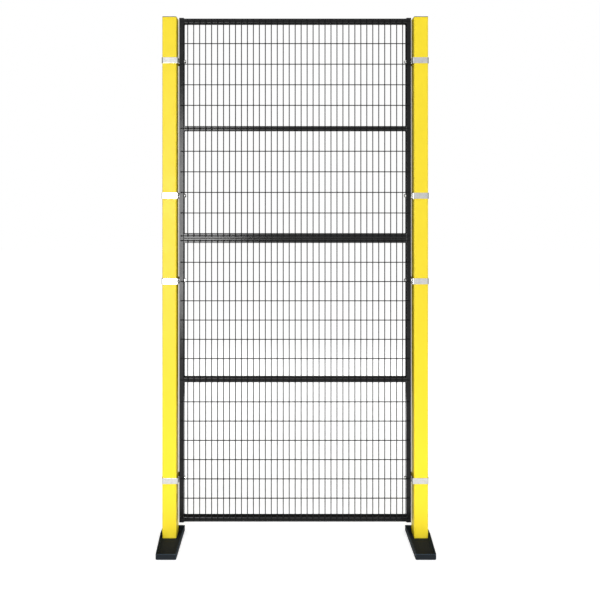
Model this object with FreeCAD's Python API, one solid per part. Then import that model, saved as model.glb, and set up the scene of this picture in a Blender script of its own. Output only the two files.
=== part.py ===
import FreeCAD, Part
import math
import os

# Machine guard fence section: two posts on tray feet, carrying two welded mesh panels
# that are stacked one above the other and held by strap clamps.
# X runs along the fence, Y from front to back, Z up. The origin lies on the floor,
# midway between the posts and midway along the feet. All sizes are in millimetres.
# Round bars, holes and bends are drawn with a few flats each, so that what repeats stays light.

Vector = FreeCAD.Vector
X_AXIS = Vector(1, 0, 0)
Y_AXIS = Vector(0, 1, 0)
Z_AXIS = Vector(0, 0, 1)
LEVEL = 1e-6                # how closely an edge must lie to a plane to be picked there

# How round things are drawn
WIRE_SIDES = 8              # a wire has a flat towards each wire or rail that it touches
ROUND_SIDES = 10            # bolts, screws, washers and their holes
BEND_POINTS = 4             # corner points along a bend or a rounded corner
SMALL_BEND_POINTS = 2       # the same where it is small or hidden inside a tube
ONE_FLAT = 2 - math.sqrt(2)   # depth of the single flat that stands for a round of radius 1

# Posts, square steel tube
CLEAR_WIDTH = 1000.0        # between the two posts
POST_SIDE = 60.0
POST_WALL = 2.0
POST_CORNER = 5.0           # outer corner radius of the tube
POST_ABOVE_PANEL = 2.0      # the tube ends this far above the upper panel

# Feet, folded sheet trays that the posts stand in
FOOT_TOE = 156.0            # length in front of the post
FOOT_HEEL = 9.0             # length behind the post
FOOT_INNER_SIDE = 25.5      # width past the post on the side of the panels
FOOT_OUTER_SIDE = 8.0       # width past the post on its other side
FOOT_TOE_TAPER = 11.5       # how far that side comes in from the post to the front end
FOOT_HEIGHT = 24.0
FOOT_SHEET = 4.0
FOOT_BEND = 1.5             # inner bend radius at the floor
FOOT_CORNER = 4.0           # outer radius of the upright corners

# Plates welded into the posts' foot ends, and the countersunk screws up into them
BASE_PLATE = 8.0            # thickness
FOOT_SCREW = 6.0            # thread diameter
FOOT_SCREW_INSET = 14.0     # screw centre to the outer side of the post
FOOT_SCREW_HOLE = 6.6
FOOT_SCREW_HEAD = 11.0      # diameter, under it a cone of 90 degrees
FOOT_SCREW_RIM = 0.2        # straight rim of the head
FOOT_SCREW_SUNK = 0.1       # head below the tray's underside
SOCKET_ACROSS_FLATS = 4.0
SOCKET_DEPTH = 1.8

# Panels, welded frames of rectangular tube
LOWER_PANEL_HEIGHT = 1200.0
UPPER_PANEL_HEIGHT = 930.0
FLOOR_GAP = 65.0            # under the lower panel
FRAME_FACE = 20.0           # tube size seen from the front
FRAME_DEPTH = 30.0          # tube size from front to back
FRAME_WALL = 1.5
FRAME_CORNER = 2.0          # outer corner radius of the tube

# Welded mesh on the front of the frames
WIRE = 4.0                  # diameter
UPRIGHT_PITCH = 25.2
CROSS_PITCH = 86.0          # nominal, rounded to whole spaces between two rails
UPRIGHT_MARGIN = 10.0       # least gap between the frame and an end upright
WIRE_END_INSET = 6.0        # wire ends to the outer edge of the frame

# Strap clamps
CLAMP_INSET = 180.0         # clamp centre to the end of its panel
STRAP_WIDTH = 25.0
STRAP_SHEET = 2.0
STRAP_FIT = 0.1             # between strap and post
STRAP_LAP_GAP = 0.2         # between the two lapped ends
STRAP_BEND = 2.0            # inner bend radius of the lapped ends
LAP_PAST_BOLT = 11.0        # from the bolt to the tip of each lapped end
STRAP_TIP_ROUND = 4.0       # corner radius of each tip

# Bolts, washers and thin nuts of the clamps
BOLT = 8.0                  # thread diameter
BOLT_HOLE = 9.0
BOLT_TIP_GAP = 0.6          # between the bolt's tip and the post
BOLT_TIP_CHAMFER = 1.0
HEX_ACROSS_FLATS = 13.0
HEAD_HEIGHT = 5.3
HEX_BEVEL = 0.7             # flat along the end edges of a hexagon
THREAD_GAP = 0.1            # between thread and nut, on the radius
NUT_HEIGHT = 4.0
NUT_TO_POST = 0.8           # room left between nut and post
WASHER_HOLE = 8.4
WASHER_OUTSIDE = 16.0
WASHER_SHEET = 1.6

# Plastic caps on the posts and plugs in the open stile ends
CAP_FLANGE = 3.0
CAP_BEVEL = 1.0             # flat along the upper edge
CAP_WALL = 2.0
CAP_SKIRT = 18.0            # depth of the skirt inside the tube
CAP_RIB = 1.0               # how far the ribs stand out from the skirt
CAP_RIB_HEIGHT = 1.5
CAP_RIBS = 3
PLUG_FLANGE = 3.0
PLUG_BEVEL = 0.6
PLUG_WALL = 1.5
PLUG_SKIRT = 12.0
PLUG_RIB = 0.8
PLUG_RIB_HEIGHT = 1.2
PLUG_RIBS = 2
TUBE_FIT = 0.15             # between the ribs and the tube's inner wall

# Places worked out from the sizes above
FOOT_LENGTH = FOOT_TOE + POST_SIDE + FOOT_HEEL
POST_Y = -FOOT_LENGTH / 2 + FOOT_TOE + POST_SIDE / 2
POST_X = CLEAR_WIDTH / 2 + POST_SIDE / 2
PANEL_GAP = 2 * STRAP_SHEET + STRAP_LAP_GAP + NUT_HEIGHT + NUT_TO_POST
PANEL_WIDTH = CLEAR_WIDTH - 2 * PANEL_GAP
LOWER_BOTTOM = FLOOR_GAP
UPPER_BOTTOM = LOWER_BOTTOM + LOWER_PANEL_HEIGHT
POST_TOP = UPPER_BOTTOM + UPPER_PANEL_HEIGHT + POST_ABOVE_PANEL
FRAME_FRONT_Y = POST_Y - FRAME_DEPTH / 2

PANELS = {
    "lower": (LOWER_BOTTOM, LOWER_PANEL_HEIGHT),
    "upper": (UPPER_BOTTOM, UPPER_PANEL_HEIGHT),
}
SIDES = {"left": -1, "right": 1}
CLAMP_PLACES = ("bottom", "top")


# Outlines, in the XY plane
def rectangle(width, depth):
    """Corner points of a rectangle about the origin."""
    x = width / 2
    y = depth / 2
    return [Vector(-x, -y), Vector(x, -y), Vector(x, y), Vector(-x, y)]


def arms(points, i):
    """Unit vectors from a corner towards the corner before it and the one after it."""
    before = (points[i - 1] - points[i]).normalize()
    after = (points[(i + 1) % len(points)] - points[i]).normalize()
    return before, after


def arc_outline(points, radius):
    """Closed wire through right-angled corners, each rounded with a true arc unless 0."""
    edges = []
    starts = []
    ends = []
    for i, corner in enumerate(points):
        before, after = arms(points, i)
        starts.append(corner + before * radius)
        ends.append(corner + after * radius)
        if radius > 0:
            middle = corner + (before + after) * (radius * (1 - math.sqrt(0.5)))
            edges.append(Part.Arc(starts[i], middle, ends[i]).toShape())
    for i, end in enumerate(ends):
        edges.append(Part.LineSegment(end, starts[(i + 1) % len(points)]).toShape())
    return Part.Wire(Part.__sortEdges__(edges))


def flat_outline(points, radii, bend_points):
    """Closed wire through corners, each turned in flats that touch its arc unless 0."""
    corners = []
    for i, corner in enumerate(points):
        if radii[i] == 0:
            corners.append(corner)
            continue
        before, after = arms(points, i)
        half = before.getAngle(after) / 2
        turn = math.pi - 2 * half
        centre = corner + (before + after).normalize() * (radii[i] / math.sin(half))
        first = corner + before * (radii[i] / math.tan(half)) - centre
        last = corner + after * (radii[i] / math.tan(half)) - centre
        stretch = 1 / math.sin(turn) / math.cos(turn / 2 / bend_points)
        for k in range(bend_points):
            angle = (k + 0.5) * turn / bend_points
            reach = first * math.sin(turn - angle) + last * math.sin(angle)
            corners.append(centre + reach * stretch)
    return Part.makePolygon(corners + corners[:1])


def flat_cornered(width, depth, corner, bend_points):
    """Face of a rectangle about the origin with its four corners turned in flats."""
    return Part.Face(flat_outline(rectangle(width, depth), [corner] * 4, bend_points))


# Building blocks
def bar(radius, sides, length):
    """Many-sided bar standing on the XY plane, its flats at this radius, one facing +X."""
    corner_radius = radius / math.cos(math.pi / sides)
    corners = []
    for i in range(sides):
        angle = (i + 0.5) * 2 * math.pi / sides
        corners.append(Vector(corner_radius * math.cos(angle), corner_radius * math.sin(angle)))
    return Part.Face(Part.makePolygon(corners + corners[:1])).extrude(Z_AXIS * length)


def laid_along_x(shape):
    """Turns a shape that stands along +Z, so that it lies along +X."""
    shape.rotate(Vector(0, 0, 0), Y_AXIS, 90)
    return shape


def inner_corner(corner, wall):
    """Inner corner radius of a tube, left sharp where it would be less than half the wall."""
    inner = corner - wall
    return inner if inner > wall / 2 else 0


def tube(width, depth, wall, corner, length):
    """Upright rectangular tube, standing on the XY plane."""
    outside = Part.Face(arc_outline(rectangle(width, depth), corner))
    inside = Part.Face(
        arc_outline(rectangle(width - 2 * wall, depth - 2 * wall), inner_corner(corner, wall)))
    return outside.cut(inside).extrude(Z_AXIS * length)


def edges_at_height(solid, height):
    """Edges that lie wholly in the level plane at this height."""
    return [
        edge for edge in solid.Edges
        if abs(edge.BoundBox.ZMin - height) < LEVEL and abs(edge.BoundBox.ZMax - height) < LEVEL
    ]


def countersunk(head, shank, length):
    """Countersunk screw standing on its head, with head and shank given as radii."""
    head_height = FOOT_SCREW_RIM + head - shank
    cone = bar(head, ROUND_SIDES, head_height)
    cone = cone.makeChamfer(head - shank, edges_at_height(cone, head_height))
    return cone.fuse(bar(shank, ROUND_SIDES, length)).removeSplitter()


# Feet and posts
def foot_screw_spots(side):
    """Places of the four screws that hold a post in its tray, seen from above."""
    reach = POST_SIDE / 2 - FOOT_SCREW_INSET
    return [
        Vector(side * POST_X + dx, POST_Y + dy)
        for dx in (-reach, reach)
        for dy in (-reach, reach)
    ]


def foot_block(inset, corner, bend):
    """Block in the right foot's outline, moved inwards, its lower edges bevelled."""
    slant = math.atan2(FOOT_TOE_TAPER, FOOT_TOE)
    inner = -POST_SIDE / 2 - FOOT_INNER_SIDE + inset
    outer = POST_SIDE / 2 + FOOT_OUTER_SIDE - inset
    back = POST_SIDE / 2 + FOOT_HEEL - inset
    front = -POST_SIDE / 2 - FOOT_TOE + inset
    taper_start = -POST_SIDE / 2 + inset * math.tan(slant / 2)
    tip = outer - (taper_start - front) * math.tan(slant)
    points = [
        Vector(inner, front), Vector(tip, front), Vector(outer, taper_start),
        Vector(outer, back), Vector(inner, back),
    ]
    outline = flat_outline(points, [corner, corner, 0, corner, corner], SMALL_BEND_POINTS)
    block = Part.Face(outline).extrude(Z_AXIS * FOOT_HEIGHT)
    return block.makeChamfer(bend * ONE_FLAT, edges_at_height(block, 0))


def foot(side):
    """Tray of folded sheet, open on top, its floor countersunk for the post's screws."""
    tray = foot_block(0, FOOT_CORNER, FOOT_BEND + FOOT_SHEET)
    pocket = foot_block(FOOT_SHEET, 0, FOOT_BEND)
    pocket.translate(Z_AXIS * FOOT_SHEET)
    tray = tray.cut(pocket)
    if side < 0:
        tray = tray.mirror(Vector(0, 0, 0), X_AXIS)
    tray.translate(Vector(side * POST_X, POST_Y))
    head = FOOT_SCREW_HEAD / 2 + FOOT_SCREW_SUNK + FOOT_SCREW_RIM
    for spot in foot_screw_spots(side):
        hole = countersunk(head, FOOT_SCREW_HOLE / 2, FOOT_SHEET + FOOT_SCREW_RIM)
        hole.translate(spot - Z_AXIS * FOOT_SCREW_RIM)
        tray = tray.cut(hole)
    return tray


def foot_screw(spot):
    """Countersunk socket screw from under the tray into the post's base plate."""
    screw = countersunk(FOOT_SCREW_HEAD / 2, FOOT_SCREW / 2,
                        FOOT_SHEET + BASE_PLATE - FOOT_SCREW_SUNK)
    screw = screw.cut(bar(SOCKET_ACROSS_FLATS / 2, 6, SOCKET_DEPTH))
    screw.translate(spot + Z_AXIS * FOOT_SCREW_SUNK)
    return screw


def post_base(side):
    """Plate welded into the foot end of a post and tapped for the four screws."""
    inside = POST_SIDE - 2 * POST_WALL
    plate = flat_cornered(inside, inside, POST_CORNER, BEND_POINTS).extrude(Z_AXIS * BASE_PLATE)
    plate.translate(Vector(side * POST_X, POST_Y, FOOT_SHEET))
    for spot in foot_screw_spots(side):
        hole = bar(FOOT_SCREW / 2 + THREAD_GAP, ROUND_SIDES, BASE_PLATE)
        hole.translate(spot + Z_AXIS * FOOT_SHEET)
        plate = plate.cut(hole)
    return plate


def post(side):
    """Square tube standing on the floor of its tray."""
    height = POST_TOP - FOOT_SHEET
    shape = tube(POST_SIDE, POST_SIDE, POST_WALL, POST_CORNER, height)
    shape.translate(Vector(side * POST_X, POST_Y, FOOT_SHEET))
    return shape


def ribbed_insert(width, depth, tube_wall, tube_corner, flange, bevel,
                  wall, skirt, rib, rib_height, ribs):
    """Cap or plug for a tube's open end: a flange on top and a ribbed skirt below z = 0."""
    cap = flat_cornered(width, depth, tube_corner, BEND_POINTS).extrude(Z_AXIS * flange)
    cap = cap.makeChamfer(bevel, edges_at_height(cap, flange))
    room = 2 * (tube_wall + TUBE_FIT)
    rib_face = flat_cornered(width - room, depth - room, tube_corner, SMALL_BEND_POINTS)
    room = room + 2 * rib
    skirt_face = flat_cornered(width - room, depth - room, tube_corner, SMALL_BEND_POINTS)
    room = room + 2 * wall
    hollow_face = flat_cornered(width - room, depth - room, tube_corner, SMALL_BEND_POINTS)
    cap = cap.fuse(skirt_face.extrude(Z_AXIS * -skirt))
    step = skirt / (ribs + 1)
    for i in range(ribs):
        ring = rib_face.extrude(Z_AXIS * rib_height)
        ring.translate(Z_AXIS * (-(i + 1) * step - rib_height / 2))
        cap = cap.fuse(ring)
    cap = cap.cut(hollow_face.extrude(Z_AXIS * -skirt))
    return cap.removeSplitter()


def post_cap(side):
    """Plastic cap that closes a post's top end."""
    cap = ribbed_insert(POST_SIDE, POST_SIDE, POST_WALL, POST_CORNER, CAP_FLANGE, CAP_BEVEL,
                        CAP_WALL, CAP_SKIRT, CAP_RIB, CAP_RIB_HEIGHT, CAP_RIBS)
    cap.translate(Vector(side * POST_X, POST_Y, POST_TOP))
    return cap


# Panel frames
def clamp_height(panel, place):
    """Height of a clamp's bolt: the same distance from either end of its panel."""
    bottom, height = PANELS[panel]
    if place == "bottom":
        return bottom + CLAMP_INSET
    return bottom + height - CLAMP_INSET


def stile_x(side):
    """Centre of a stile, its outer side one panel gap away from the post."""
    return side * (PANEL_WIDTH - FRAME_FACE) / 2


def stile(panel, side):
    """Upright tube at a panel's edge, drilled through for the clamp bolts."""
    bottom, height = PANELS[panel]
    shape = tube(FRAME_FACE, FRAME_DEPTH, FRAME_WALL, FRAME_CORNER, height)
    shape.translate(Vector(stile_x(side), POST_Y, bottom))
    for place in CLAMP_PLACES:
        hole = laid_along_x(bar(BOLT_HOLE / 2, ROUND_SIDES, 2 * FRAME_FACE))
        hole.translate(Vector(stile_x(side) - FRAME_FACE, POST_Y, clamp_height(panel, place)))
        shape = shape.cut(hole)
    return shape


def rail(centre_z):
    """Level tube between the two stiles of a panel."""
    length = PANEL_WIDTH - 2 * FRAME_FACE
    shape = laid_along_x(tube(FRAME_FACE, FRAME_DEPTH, FRAME_WALL, FRAME_CORNER, length))
    shape.translate(Vector(-length / 2, POST_Y, centre_z))
    return shape


def rail_heights(panel):
    """Centre heights of a panel's three rails."""
    bottom, height = PANELS[panel]
    return {
        "bottom": bottom + FRAME_FACE / 2,
        "mid": bottom + height / 2,
        "top": bottom + height - FRAME_FACE / 2,
    }


def stile_plug(panel, side):
    """Plastic plug in the stile end that stays open to view: the fence's top or bottom."""
    plug = ribbed_insert(FRAME_FACE, FRAME_DEPTH, FRAME_WALL, FRAME_CORNER, PLUG_FLANGE,
                         PLUG_BEVEL, PLUG_WALL, PLUG_SKIRT, PLUG_RIB, PLUG_RIB_HEIGHT, PLUG_RIBS)
    bottom, height = PANELS[panel]
    if panel == "lower":
        plug.rotate(Vector(0, 0, 0), Y_AXIS, 180)
        plug.translate(Vector(stile_x(side), POST_Y, bottom))
    else:
        plug.translate(Vector(stile_x(side), POST_Y, bottom + height))
    return plug


# Welded mesh
def spread(first, last, count):
    """Evenly spaced places from first to last."""
    return [first + (last - first) * i / (count - 1) for i in range(count)]


def upright_wires(panel):
    """Upright wires at their pitch, the row centred in the frame, in front of the crosswires."""
    bottom, height = PANELS[panel]
    room = PANEL_WIDTH - 2 * FRAME_FACE - 2 * UPRIGHT_MARGIN
    spaces = int(room / UPRIGHT_PITCH)
    reach = spaces * UPRIGHT_PITCH / 2
    length = height - 2 * WIRE_END_INSET
    wires = []
    for x in spread(-reach, reach, spaces + 1):
        wire = bar(WIRE / 2, WIRE_SIDES, length)
        wire.translate(Vector(x, FRAME_FRONT_Y - 1.5 * WIRE, bottom + WIRE_END_INSET))
        wires.append(wire)
    return wires


def cross_wires(panel):
    """Crosswires against the front of the frame: one on each rail, even rows in between."""
    rows = list(rail_heights(panel).values())
    for low, high in zip(rows[:-1], rows[1:]):
        first = low + FRAME_FACE / 2
        last = high - FRAME_FACE / 2
        spaces = max(1, round((last - first) / CROSS_PITCH))
        rows = rows + spread(first, last, spaces + 1)[1:-1]
    length = PANEL_WIDTH - 2 * WIRE_END_INSET
    wires = []
    for z in rows:
        wire = laid_along_x(bar(WIRE / 2, WIRE_SIDES, length))
        wire.translate(Vector(-length / 2, FRAME_FRONT_Y - WIRE / 2, z))
        wires.append(wire)
    return wires


# Clamps. Each is drawn for the left post, where the panel lies on the +X side,
# with x = 0 at the post's inner face and y = 0 at its centre, then mirrored for the right.
def place_at_post(shape, side, height):
    """Moves a clamp's piece from its own place to a post, at the bolt's height."""
    if side > 0:
        shape = shape.mirror(Vector(0, 0, 0), X_AXIS)
    shape.translate(Vector(side * CLEAR_WIDTH / 2, POST_Y, height))
    return shape


def strap_outline():
    """Section of the strap: round the post, its two ends turned in and lapped in the gap."""
    lap_outer = PANEL_GAP - STRAP_SHEET
    lap_inner = lap_outer - STRAP_LAP_GAP - STRAP_SHEET
    hug = POST_SIDE / 2 + STRAP_FIT
    far = -POST_SIDE - STRAP_FIT
    tip = LAP_PAST_BOLT
    inside = [
        Vector(lap_inner, tip), Vector(lap_inner, -hug), Vector(far, -hug),
        Vector(far, hug), Vector(lap_outer, hug), Vector(lap_outer, -tip),
    ]
    outside = [
        Vector(PANEL_GAP, -tip), Vector(PANEL_GAP, hug + STRAP_SHEET),
        Vector(far - STRAP_SHEET, hug + STRAP_SHEET), Vector(far - STRAP_SHEET, -hug - STRAP_SHEET),
        Vector(lap_inner + STRAP_SHEET, -hug - STRAP_SHEET), Vector(lap_inner + STRAP_SHEET, tip),
    ]
    post_bend = POST_CORNER + STRAP_FIT
    inside_radii = [0, STRAP_BEND, post_bend, post_bend, STRAP_BEND, 0]
    outside_radii = [r + STRAP_SHEET if r > 0 else 0 for r in inside_radii]
    return Part.Face(flat_outline(inside + outside, inside_radii + outside_radii, BEND_POINTS))


def tip_edges(shape):
    """Short edges through the sheet at the corners of the strap's two tips."""
    return [
        edge for edge in shape.Edges
        if edge.BoundBox.YLength < LEVEL and edge.BoundBox.ZLength < LEVEL
        and abs(abs(edge.BoundBox.YMin) - LAP_PAST_BOLT) < LEVEL
    ]


def strap(side, height):
    """Flat strap bent round a post, with one bolt hole through both lapped ends."""
    shape = strap_outline().extrude(Z_AXIS * STRAP_WIDTH)
    shape.translate(Z_AXIS * (-STRAP_WIDTH / 2))
    shape = shape.makeChamfer(STRAP_TIP_ROUND * ONE_FLAT, tip_edges(shape))
    shape = shape.cut(laid_along_x(bar(BOLT_HOLE / 2, ROUND_SIDES, PANEL_GAP)))
    return place_at_post(shape, side, height)


def hexagon(height):
    """Hexagonal bolt head or nut standing on the XY plane, with a flat along its upper edges."""
    shape = bar(HEX_ACROSS_FLATS / 2, 6, height)
    return shape.makeChamfer(HEX_BEVEL, edges_at_height(shape, height))


def bolt(side, height):
    """Hex bolt through washer, stile and strap, its tip just short of the post."""
    under_head = PANEL_GAP + FRAME_FACE + WASHER_SHEET
    shape = bar(BOLT / 2, ROUND_SIDES, under_head - BOLT_TIP_GAP)
    shape = shape.makeChamfer(BOLT_TIP_CHAMFER, edges_at_height(shape, 0))
    shape.translate(Z_AXIS * BOLT_TIP_GAP)
    head = hexagon(HEAD_HEIGHT)
    head.translate(Z_AXIS * under_head)
    return place_at_post(laid_along_x(shape.fuse(head)), side, height)


def washer(side, height):
    """Plain washer on the stile's inner side, under the bolt head."""
    shape = bar(WASHER_OUTSIDE / 2, ROUND_SIDES, WASHER_SHEET)
    shape = shape.cut(bar(WASHER_HOLE / 2, ROUND_SIDES, WASHER_SHEET))
    shape.translate(Z_AXIS * (PANEL_GAP + FRAME_FACE))
    return place_at_post(laid_along_x(shape), side, height)


def nut(side, height):
    """Thin nut between the post and the strap's inner end, its flats towards the post."""
    shape = hexagon(NUT_HEIGHT).cut(bar(BOLT / 2 + THREAD_GAP, ROUND_SIDES, NUT_HEIGHT))
    shape.rotate(Vector(0, 0, 0), Y_AXIS, 180)
    shape.translate(Z_AXIS * (NUT_TO_POST + NUT_HEIGHT))
    return place_at_post(laid_along_x(shape), side, height)


# Assembly
def clamp_spots():
    """Name, side and bolt height of each of the eight clamps."""
    return [
        (f"{panel}_{side_name}_{place}", side, clamp_height(panel, place))
        for panel in PANELS
        for side_name, side in SIDES.items()
        for place in CLAMP_PLACES
    ]


def build_nodes():
    """Every node of the fence section, by name."""
    nodes = {}
    for side_name, side in SIDES.items():
        nodes[f"{side_name}_foot"] = foot(side)
        nodes[f"{side_name}_post"] = post(side)
        nodes[f"{side_name}_post_base"] = post_base(side)
        nodes[f"{side_name}_post_cap"] = post_cap(side)
    for panel in PANELS:
        for side_name, side in SIDES.items():
            nodes[f"{panel}_{side_name}_stile"] = stile(panel, side)
            nodes[f"{panel}_{side_name}_stile_plug"] = stile_plug(panel, side)
        for rail_name, height in rail_heights(panel).items():
            nodes[f"{panel}_{rail_name}_rail"] = rail(height)
        nodes[f"{panel}_upright_wires"] = Part.makeCompound(upright_wires(panel))
        nodes[f"{panel}_cross_wires"] = Part.makeCompound(cross_wires(panel))
    for name, side, height in clamp_spots():
        nodes[f"{name}_strap"] = strap(side, height)
    spots = [spot for side in SIDES.values() for spot in foot_screw_spots(side)]
    nodes["foot_screws"] = Part.makeCompound([foot_screw(spot) for spot in spots])
    nodes["clamp_bolts"] = Part.makeCompound([bolt(s, h) for _, s, h in clamp_spots()])
    nodes["clamp_washers"] = Part.makeCompound([washer(s, h) for _, s, h in clamp_spots()])
    nodes["clamp_nuts"] = Part.makeCompound([nut(s, h) for _, s, h in clamp_spots()])
    return nodes


os.makedirs("parts", exist_ok=True)
for node_name, node_shape in build_nodes().items():
    node_shape.exportStep(f"parts/{node_name}.step")
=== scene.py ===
import math

import bpy
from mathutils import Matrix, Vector


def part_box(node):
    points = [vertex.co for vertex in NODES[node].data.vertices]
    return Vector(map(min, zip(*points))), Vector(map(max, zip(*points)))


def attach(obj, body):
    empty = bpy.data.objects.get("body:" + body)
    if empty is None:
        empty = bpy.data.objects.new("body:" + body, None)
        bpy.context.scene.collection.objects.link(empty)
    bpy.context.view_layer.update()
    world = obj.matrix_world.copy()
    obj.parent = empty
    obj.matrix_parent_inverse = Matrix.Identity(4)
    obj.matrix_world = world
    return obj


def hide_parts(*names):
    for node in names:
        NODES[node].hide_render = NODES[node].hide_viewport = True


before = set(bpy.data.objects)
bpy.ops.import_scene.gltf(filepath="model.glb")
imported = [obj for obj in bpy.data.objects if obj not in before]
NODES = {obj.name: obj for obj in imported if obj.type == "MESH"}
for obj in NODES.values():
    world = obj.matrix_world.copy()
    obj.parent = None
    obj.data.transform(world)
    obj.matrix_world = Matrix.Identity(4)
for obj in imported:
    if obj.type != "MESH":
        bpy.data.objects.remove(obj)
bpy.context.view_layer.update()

bl_info = {
    "name": "Mesh Guard Fence",
    "version": (1, 0, 0),
    "blender": (4, 5, 0),
    "location": "3D View > Sidebar > Guard Fence",
    "description": "Finishes a machine guard fence section: coats, welded mesh, clamps and stage",
    "category": "Object",
}

PANELS = ("lower", "upper")
SIDES = ("left", "right")
RAILS = ("bottom", "mid", "top")
SHARP_ANGLE = math.radians(38)


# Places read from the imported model
def corners(node):
    """Lowest and highest corner of a CAD node, in metres."""
    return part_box(node)


def centre(node):
    """Middle of a CAD node's box."""
    low, high = corners(node)
    return (low + high) / 2


def size(node):
    """Lengths of a CAD node's box along the three axes."""
    low, high = corners(node)
    return high - low


def wire_row(node, across, along):
    """First wire, last wire, run of a wire and its radius, from the CAD box of a row."""
    low, high = corners(node)
    radius = size(node)[1] / 2
    first = Vector((0.0, low[1] + radius, 0.0))
    first[across] = low[across] + radius
    first[along] = low[along]
    last = first.copy()
    last[across] = high[across] - radius
    run = Vector((0.0, 0.0, 0.0))
    run[along] = high[along] - low[along]
    return first, last, run, radius


POST_FACE_X = corners("left_post")[1][0]
POST_Y = centre("left_post")[1]
FRAME_FRONT = corners("lower_left_stile")[0][1]


# Objects and node trees
def add_object(name, data):
    """Puts a new object in the scene."""
    made = bpy.data.objects.new(name, data)
    bpy.context.scene.collection.objects.link(made)
    return made


def new_tree(name, kind, inputs, outputs):
    """Node group with named sockets, the values given to it and the places of its results."""
    tree = bpy.data.node_groups.new(name, kind)
    for label, socket_type, default in inputs:
        socket = tree.interface.new_socket(name=label, in_out="INPUT", socket_type=socket_type)
        if default is not None:
            socket.default_value = default
    for label, socket_type in outputs:
        tree.interface.new_socket(name=label, in_out="OUTPUT", socket_type=socket_type)
    entry = tree.nodes.new("NodeGroupInput")
    leave = tree.nodes.new("NodeGroupOutput")
    return tree, entry.outputs, leave.inputs


def node(tree, kind, links=None, **settings):
    """Adds a node. Its links name an input by label or place, and give a socket or a value."""
    made = tree.nodes.new(kind)
    for name, value in settings.items():
        setattr(made, name, value)
    for label, value in (links or {}).items():
        if isinstance(value, bpy.types.NodeSocket):
            tree.links.new(value, made.inputs[label])
        else:
            made.inputs[label].default_value = value
    return made


def maths(tree, operation, first, second=0.0, clamp=False):
    """Result of a Math node."""
    made = node(tree, "ShaderNodeMath", {0: first, 1: second}, operation=operation,
                use_clamp=clamp)
    return made.outputs[0]


def vector_maths(tree, operation, first, second=None, scale=None):
    """Result of a Vector Math node that gives a vector."""
    links = {0: first}
    if second is not None:
        links[1] = second
    if scale is not None:
        links["Scale"] = scale
    return node(tree, "ShaderNodeVectorMath", links, operation=operation).outputs[0]


def bake_piece(name, tree, values, base=None):
    """Runs a geometry tree once and keeps its result as a plain mesh object."""
    carrier_mesh = base or bpy.data.meshes.new(name + "_carrier")
    carrier = add_object(name + "_carrier", carrier_mesh)
    modifier = carrier.modifiers.new("Build", "NODES")
    modifier.node_group = tree
    sockets = {item.name: item.identifier for item in tree.interface.items_tree
               if item.in_out == "INPUT"}
    for label, value in values.items():
        modifier[sockets[label]] = value
    depsgraph = bpy.context.evaluated_depsgraph_get()
    mesh = bpy.data.meshes.new_from_object(carrier.evaluated_get(depsgraph), depsgraph=depsgraph)
    bpy.data.objects.remove(carrier)
    bpy.data.meshes.remove(carrier_mesh)
    mesh.name = name
    piece = add_object(name, mesh)
    mesh.shade_smooth()
    mesh.set_sharp_from_angle(angle=SHARP_ANGLE)
    return piece


def settle(piece, slot, *replaced):
    """Puts a finished piece on the fence's body and hides the nodes it stands for. The finish it is
    handed, slot, is not used.
    """
    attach(piece, "root")
    if replaced:
        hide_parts(*replaced)


# Geometry trees
def points_in_line(tree, count, start, step):
    """Evenly spaced points, from a start and by a step."""
    line = node(tree, "GeometryNodeMeshLine", {
        "Count": count, "Start Location": start, "Offset": step}, mode="OFFSET")
    return line.outputs[0]


def copies(tree, points, part, **placing):
    """One part copied to every point, with any turn and scale, as plain geometry."""
    made = node(tree, "GeometryNodeInstanceOnPoints",
                {"Points": points, "Instance": part, **placing})
    return node(tree, "GeometryNodeRealizeInstances", {"Geometry": made.outputs[0]}).outputs[0]


def random_number(tree, lowest, highest, seed):
    """A random number for each point."""
    made = node(tree, "FunctionNodeRandomValue", {2: lowest, 3: highest, "Seed": seed},
                data_type="FLOAT")
    return made.outputs[1]


def finish_tree(tree, geometry, given, result):
    """Ends a geometry tree with plain geometry and its material."""
    plain = node(tree, "GeometryNodeRealizeInstances", {"Geometry": geometry})
    coated = node(tree, "GeometryNodeSetMaterial",
                  {"Geometry": plain.outputs[0], "Material": given["Material"]})
    tree.links.new(coated.outputs[0], result[0])


def rows_tree():
    """Points in a row: one at each rail, and even ones across the openings between rails."""
    tree, given, result = new_tree("Rows across rails", "GeometryNodeTree", [
        ("First Rail", "NodeSocketVector", None),
        ("Rail Step", "NodeSocketVector", None),
        ("Rails", "NodeSocketInt", 3),
        ("Rows between Rails", "NodeSocketInt", 4),
        ("Half Rail", "NodeSocketFloat", 0.01),
    ], [("Points", "NodeSocketGeometry")])
    rails = points_in_line(tree, given["Rails"], given["First Rail"], given["Rail Step"])
    along = vector_maths(tree, "NORMALIZE", given["Rail Step"])
    reach = node(tree, "ShaderNodeVectorMath", {0: given["Rail Step"]}, operation="LENGTH")
    both_halves = maths(tree, "MULTIPLY", given["Half Rail"], 2.0)
    opening = maths(tree, "SUBTRACT", reach.outputs["Value"], both_halves)
    pitch = maths(tree, "DIVIDE", opening, maths(tree, "ADD", given["Rows between Rails"], 1.0))
    start = maths(tree, "ADD", given["Half Rail"], pitch)
    rows = points_in_line(tree, given["Rows between Rails"],
                          vector_maths(tree, "SCALE", along, scale=start),
                          vector_maths(tree, "SCALE", along, scale=pitch))
    openings = points_in_line(tree, maths(tree, "SUBTRACT", given["Rails"], 1.0),
                              given["First Rail"], given["Rail Step"])
    points = node(tree, "GeometryNodeJoinGeometry")
    tree.links.new(rails, points.inputs[0])
    tree.links.new(copies(tree, openings, rows), points.inputs[0])
    tree.links.new(points.outputs[0], result[0])
    return tree


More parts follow.
